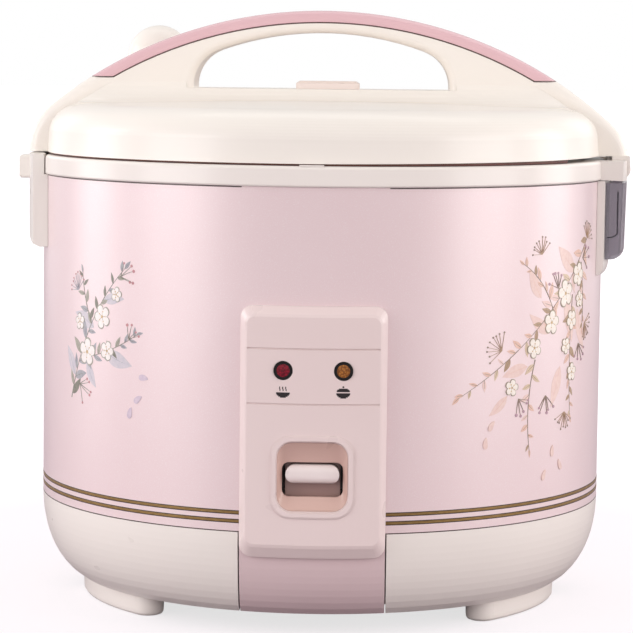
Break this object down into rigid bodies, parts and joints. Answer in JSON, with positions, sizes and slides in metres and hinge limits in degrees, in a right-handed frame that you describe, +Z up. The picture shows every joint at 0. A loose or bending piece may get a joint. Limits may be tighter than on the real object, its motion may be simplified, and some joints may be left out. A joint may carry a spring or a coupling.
{
  "type": "rice cooker",
  "caption": "Jar-type electric rice cooker: round steel body, domed side-opening lid with an arched handle strip, front switch panel, side latch and drip cup.",
  "frame": {"origin": "on the table under the middle of the part's box, on the axis of the round body", "axes": "+X towards the lid hinge, -Y towards the control panel at the front, +Z up"},
  "size_m": [0.3264, 0.3138, 0.312],
  "materials": {
    "cream_plastic": "glossy cream moulding",
    "lid_plastic": "glossy pearly cream moulding",
    "inner_plastic": "satin off-white moulding",
    "pink_enamel": "pearly pink baked enamel on sheet steel",
    "rose_plastic": "glossy dusky pink strip",
    "panel_plastic": "glossy pinkish beige moulding",
    "insert_plastic": "glossy mauve-pink moulding",
    "lever_plastic": "glossy pale pink moulding",
    "black_plastic": "black moulding",
    "red_lens": "dark red lamp lens",
    "amber_lens": "amber lamp lens",
    "smoky_plastic": "smoky grey clear moulding",
    "pot_alloy": "spun aluminium, satin",
    "cast_alloy": "cast and turned aluminium",
    "plain_steel": "galvanised sheet steel",
    "bright_steel": "bright plated steel",
    "heater_tube": "dull heater sheath",
    "foil": "foil over a heating band",
    "ferrite": "dark magnet and its rod",
    "grey_silicone": "grey silicone",
    "clear_silicone": "milky silicone"
  },
  "bodies": {
    "housing": {"base_shell": "cream_plastic", "bottom_cover": "inner_plastic", "base_screws": "bright_steel", "foot_front_left": "cream_plastic", "foot_front_right": "cream_plastic", "foot_rear_left": "cream_plastic", "foot_rear_right": "cream_plastic", "body_wall": "pink_enamel", "rim_ring": "cream_plastic", "front_panel": "panel_plastic", "front_insert": "insert_plastic", "lamp_bezels": "black_plastic", "cook_lamp": "red_lens", "warm_lamp": "amber_lens", "inner_case": "plain_steel", "keep_warm_heater": "foil", "heater_plate": "cast_alloy", "heater_element": "heater_tube", "inner_pot": "pot_alloy", "sensor_tube": "plain_steel", "sensor_spring": "bright_steel", "switch_bracket": "plain_steel", "switch_pin": "bright_steel", "microswitch": "black_plastic", "switch_guide": "black_plastic", "inlet_socket": "inner_plastic", "inlet_pins": "bright_steel", "latch_cover": "cream_plastic", "latch_pin": "bright_steel", "latch_spring": "bright_steel", "dew_bracket": "cream_plastic", "hinge_pin": "bright_steel", "lid_spring": "bright_steel"},
    "lid": {"lid_shell": "lid_plastic", "handle_cover": "rose_plastic", "centre_cap": "lid_plastic", "hinge_arm": "cream_plastic", "lid_catch": "inner_plastic", "lid_lining": "inner_plastic", "lid_screws": "bright_steel", "inner_lid_stud": "inner_plastic", "inner_lid_grommet": "grey_silicone", "inner_lid": "pot_alloy", "inner_lid_seal": "clear_silicone", "steam_pipe": "inner_plastic"},
    "latch_button": {"latch_button": "cream_plastic"},
    "latch_hook": {"latch_hook": "inner_plastic"},
    "switch_lever": {"switch_lever": "lever_plastic"},
    "magnet_rod": {"magnet_rod": "ferrite"},
    "sensor_cap": {"sensor_cap": "cast_alloy"},
    "steam_cap": {"steam_cap": "lid_plastic"},
    "dew_collector": {"dew_collector": "smoky_plastic"}
  },
  "joints": [
    {"name": "lid_hinge", "type": "hinge", "parent": "housing", "child": "lid", "pos_m": [0.1582, 0, 0.23], "axis": [0, 1, 0], "range_deg": [0, 90]},
    {"name": "latch_button_press", "type": "slide", "parent": "housing", "child": "latch_button", "axis": [1, 0, 0], "range_m": [0, 0.003], "stiffness_N_per_m": 300},
    {"name": "latch_hook_pivot", "type": "hinge", "parent": "housing", "child": "latch_hook", "pos_m": [-0.143, 0, 0.2], "axis": [0, 1, 0], "range_deg": [0, 10.2]},
    {"name": "switch_lever_pivot", "type": "hinge", "parent": "housing", "child": "switch_lever", "pos_m": [0, -0.06, 0.048], "axis": [1, 0, 0], "range_deg": [0, 3.4]},
    {"name": "magnet_rod_slide", "type": "slide", "parent": "housing", "child": "magnet_rod", "axis": [0, 0, 1], "range_m": [0, 0.0036]},
    {"name": "sensor_cap_slide", "type": "slide", "parent": "housing", "child": "sensor_cap", "axis": [0, 0, 1], "range_m": [-0.0015, 0], "stiffness_N_per_m": 800, "deforming": ["sensor_spring"]},
    {"name": "steam_cap_lift", "type": "slide", "parent": "lid", "child": "steam_cap", "axis": [0, 0, 1], "range_m": [0, 0.04]},
    {"name": "dew_collector_pull", "type": "slide", "parent": "housing", "child": "dew_collector", "axis": [1, 0, 0], "range_m": [0, 0.04]}
  ],
  "couplings": [
    {"joint": "latch_hook_pivot", "follows": "latch_button_press", "rad_per_m": 58.2},
    {"joint": "magnet_rod_slide", "follows": "switch_lever_pivot", "m_per_rad": 0.06}
  ]
}
